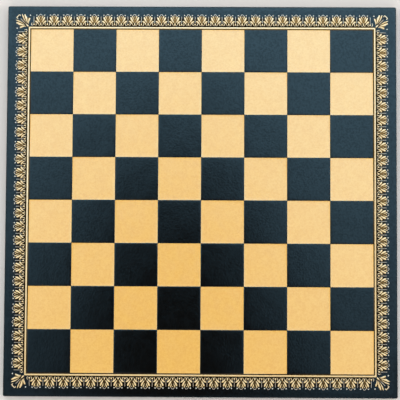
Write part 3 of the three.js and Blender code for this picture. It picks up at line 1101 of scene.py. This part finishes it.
class CHESSBOARD_OT_underside(bpy.types.Operator):
    """Lays the felt under the board and finishes the panel inside it"""

    bl_idname = "chessboard.underside"
    bl_label = "Felt and panel"

    def execute(self, context):
        sizes = context.scene.chessboard_sizes
        flange_top = SHEET_LOW.z - FELT_GLUE
        pad_half = SHEET_HIGH.x - sizes.turn_in - FELT_GAP
        bm = bmesh.new()
        bmesh.ops.create_grid(bm, x_segments=1, y_segments=1, size=FELT_HIGH.x)
        bmesh.ops.translate(bm, vec=(0.0, 0.0, FELT_LOW.z), verts=bm.verts)
        top = only(raise_form(bm, bm.faces[:], flange_top - FELT_LOW.z), bmesh.types.BMFace)
        bmesh.ops.inset_region(bm, faces=top, thickness=FELT_HIGH.x - pad_half, use_even_offset=True)
        raise_form(bm, top, FELT_HIGH.z - flange_top)
        rims = [e for e in bm.edges if e.calc_face_angle() > RIM_ANGLE]
        round_edges(bm, rims, FELT_ROUND, FELT_STEPS)
        make_piece(bm, "felt_sheet", "Black felt", ["felt_backing"])
        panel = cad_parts["core_panel"]
        panel.data.materials.clear()
        panel.data.materials.append(bpy.data.materials["Fibreboard"])
        return {"FINISHED"}


# Stage


def add_softbox(name, place, size, power):
    """A warm soft light from the side, aimed at the board; it gives no sheen of its own."""
    lamp = bpy.data.lights.new(name, "AREA")
    lamp.shape = "RECTANGLE"
    lamp.size, lamp.size_y = size
    lamp.energy = power
    lamp.color = WARM
    light = bpy.data.objects.new(name, lamp)
    light.location = place
    light.rotation_euler = Vector(place).to_track_quat("Z", "Y").to_euler()
    light.visible_camera = False
    light.visible_glossy = False
    bpy.context.scene.collection.objects.link(light)


def add_world():
    """Studio sky: a cool skylight overhead with a dark spot south of the zenith, and pale walls low down."""
    world = bpy.data.worlds.new("Studio")
    world.use_nodes = True
    bpy.context.scene.world = world
    tree = world.node_tree
    heading = add(tree, "ShaderNodeTexCoord").outputs["Generated"]
    split = feed(tree, add(tree, "ShaderNodeSeparateXYZ"), {0: heading})
    offset = vector_math(tree, "SUBTRACT", heading, DARK_SPOT)[0]
    squeezed = vector_math(tree, "MULTIPLY", offset, SPOT_SQUEEZE)[0]
    reach = vector_math(tree, "LENGTH", squeezed)["Value"]
    skylight = remap(tree, reach, *SPOT_EDGE, easing="LINEAR")
    rise = vector_math(tree, "DOT_PRODUCT", heading, SKYLIGHT_RISE)["Value"]
    tilt = remap(tree, rise, *SKYLIGHT_TILT, easing="LINEAR")
    skylight = math_node(tree, "MULTIPLY", skylight, tilt)
    skylight = math_node(tree, "MULTIPLY", skylight, remap(tree, split.outputs["Z"], *SKYLIGHT_EDGE))
    overhead = blend_colours(tree, skylight, OVERHEAD, COOL)
    walls = remap(tree, split.outputs["Z"], *WALLS_EDGE)
    background = next(n for n in tree.nodes if n.type == "BACKGROUND")
    feed(tree, background, {"Color": blend_colours(tree, walls, overhead, WALLS)})


def add_floor(scene):
    """A plain pale floor under the board."""
    bm = bmesh.new()
    bmesh.ops.create_grid(bm, x_segments=1, y_segments=1, size=FLOOR_HALF)
    mesh = motif_mesh(bm, "floor")
    tree, shader, _ = new_material("Pale floor")
    tone = (*scene.chessboard_colours.floor, 1.0)
    feed(tree, shader, {"Base Color": tone, "Roughness": FLOOR_ROUGHNESS})
    mesh.materials.append(bpy.data.materials["Pale floor"])
    floor = bpy.data.objects.new("floor", mesh)
    scene.collection.objects.link(floor)


def add_camera(scene):
    """The camera at the photograph's place, looking down at the board."""
    lens = bpy.data.cameras.new("camera")
    lens.lens = CAMERA_LENS
    lens.sensor_width = CAMERA_SENSOR
    camera = bpy.data.objects.new("camera", lens)
    camera.location = Vector(CAMERA_PLACE) * MM + Vector((0.0, 0.0, SHEET_HIGH.z))
    camera.rotation_euler = Euler([math.radians(angle) for angle in CAMERA_TURN])
    scene.collection.objects.link(camera)
    scene.camera = camera


class CHESSBOARD_OT_stage(bpy.types.Operator):
    """Sets the plain floor, the soft lights and the camera"""

    bl_idname = "chessboard.stage"
    bl_label = "Stage"

    def execute(self, context):
        add_floor(context.scene)
        add_world()
        for name, place, size, power in FILLS:
            add_softbox(name, place, size, power)
        add_camera(context.scene)
        context.scene.view_settings.view_transform = "Standard"
        return {"FINISHED"}


BUILD_ORDER = (
    CHESSBOARD_OT_finishes,
    CHESSBOARD_OT_leatherette_sheet,
    CHESSBOARD_OT_light_squares,
    CHESSBOARD_OT_frame_line,
    CHESSBOARD_OT_palmette_border,
    CHESSBOARD_OT_corner_leaves,
    CHESSBOARD_OT_underside,
    CHESSBOARD_OT_stage,
)


class CHESSBOARD_PT_builder(bpy.types.Panel):
    """Lists the board's sizes, colours and building steps"""

    bl_idname = "CHESSBOARD_PT_builder"
    bl_label = "Chessboard"
    bl_space_type = "VIEW_3D"
    bl_region_type = "UI"
    bl_category = "Chessboard"

    def draw(self, context):
        layout = self.layout
        for group in (context.scene.chessboard_sizes, context.scene.chessboard_colours):
            box = layout.box()
            for name in group.__annotations__:
                box.prop(group, name)
        for step in BUILD_ORDER:
            layout.operator(step.bl_idname)


CLASSES = (ChessboardSizes, ChessboardColours, *BUILD_ORDER, CHESSBOARD_PT_builder)


def register():
    """Registers the classes and hangs the settings on the scene."""
    for cls in CLASSES:
        bpy.utils.register_class(cls)
    bpy.types.Scene.chessboard_sizes = PointerProperty(type=ChessboardSizes)
    bpy.types.Scene.chessboard_colours = PointerProperty(type=ChessboardColours)


def unregister():
    """Takes the settings and the classes away again."""
    del bpy.types.Scene.chessboard_colours
    del bpy.types.Scene.chessboard_sizes
    for cls in reversed(CLASSES):
        bpy.utils.unregister_class(cls)


def main():
    """Builds the board step by step."""
    register()
    for step in BUILD_ORDER:
        area, name = step.bl_idname.split(".")
        getattr(getattr(bpy.ops, area), name)()


if __name__ == "__main__":
    main()
